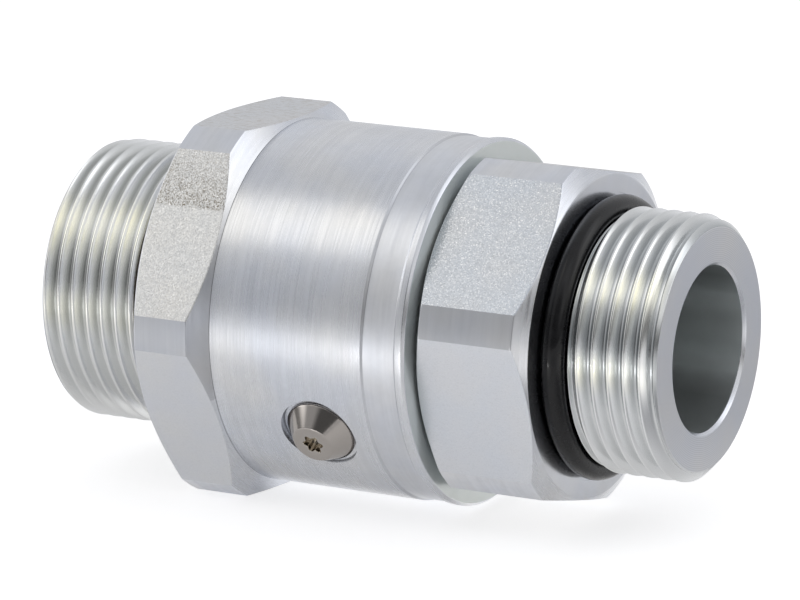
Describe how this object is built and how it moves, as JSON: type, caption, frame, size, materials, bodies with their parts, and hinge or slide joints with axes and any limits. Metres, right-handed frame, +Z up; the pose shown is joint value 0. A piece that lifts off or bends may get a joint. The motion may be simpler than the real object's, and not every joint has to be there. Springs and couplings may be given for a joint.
{
  "type": "live swivel hydraulic fitting",
  "caption": "In-line live swivel fitting: face-seal male end, hexagon and turned barrel, ball-carried stem with hexagon and O-ring boss stud, straight flow bore.",
  "frame": {"origin": "on the fitting's axis, midway between the proud face O-ring and the stud's end", "axes": "+X along the axis towards the O-ring stud, +Z up with a flat of the housing's hexagon on top and one below, the ball-loading screw on the -Y side and low"},
  "size_m": [0.0866, 0.0526, 0.0476],
  "materials": {
    "housing_zinc": "clear zinc plate, turned and as-drawn faces",
    "stem_zinc": "clear zinc plate, turned and as-drawn faces",
    "plug_steel": "ground",
    "screw_stainless": "turned stainless steel",
    "ball_steel": "polished",
    "seal_rubber": "smooth, slightly oily",
    "wiper_polymer": "smooth polyurethane",
    "wear_polymer": "fabric-filled resin strip",
    "backup_polymer": "waxy"
  },
  "bodies": {
    "housing": {"housing": "housing_zinc", "loading_plug": "plug_steel", "plug_screw": "screw_stainless", "dust_wiper": "wiper_polymer", "face_o_ring": "seal_rubber"},
    "stem": {"swivel_stem": "stem_zinc", "front_wear_ring": "wear_polymer", "rear_wear_ring": "wear_polymer", "pressure_seal": "seal_rubber", "front_backup_ring": "backup_polymer", "rear_backup_ring": "backup_polymer", "stud_o_ring": "seal_rubber"},
    "ball_row": {"ball_01": "ball_steel", "ball_02": "ball_steel", "ball_03": "ball_steel", "ball_04": "ball_steel", "ball_05": "ball_steel", "ball_06": "ball_steel", "ball_07": "ball_steel", "ball_08": "ball_steel", "ball_09": "ball_steel", "ball_10": "ball_steel", "ball_11": "ball_steel", "ball_12": "ball_steel", "ball_13": "ball_steel", "ball_14": "ball_steel", "ball_15": "ball_steel", "ball_16": "ball_steel"}
  },
  "joints": [
    {"name": "swivel_turn", "type": "hinge", "parent": "housing", "child": "stem", "pos_m": [0, 0, 0], "axis": [1, 0, 0], "continuous": true},
    {"name": "ball_row_orbit", "type": "hinge", "parent": "housing", "child": "ball_row", "pos_m": [-0.00072, 0, 0], "axis": [1, 0, 0], "continuous": true}
  ],
  "couplings": [
    {"joint": "ball_row_orbit", "follows": "swivel_turn", "ratio": 0.4032}
  ]
}
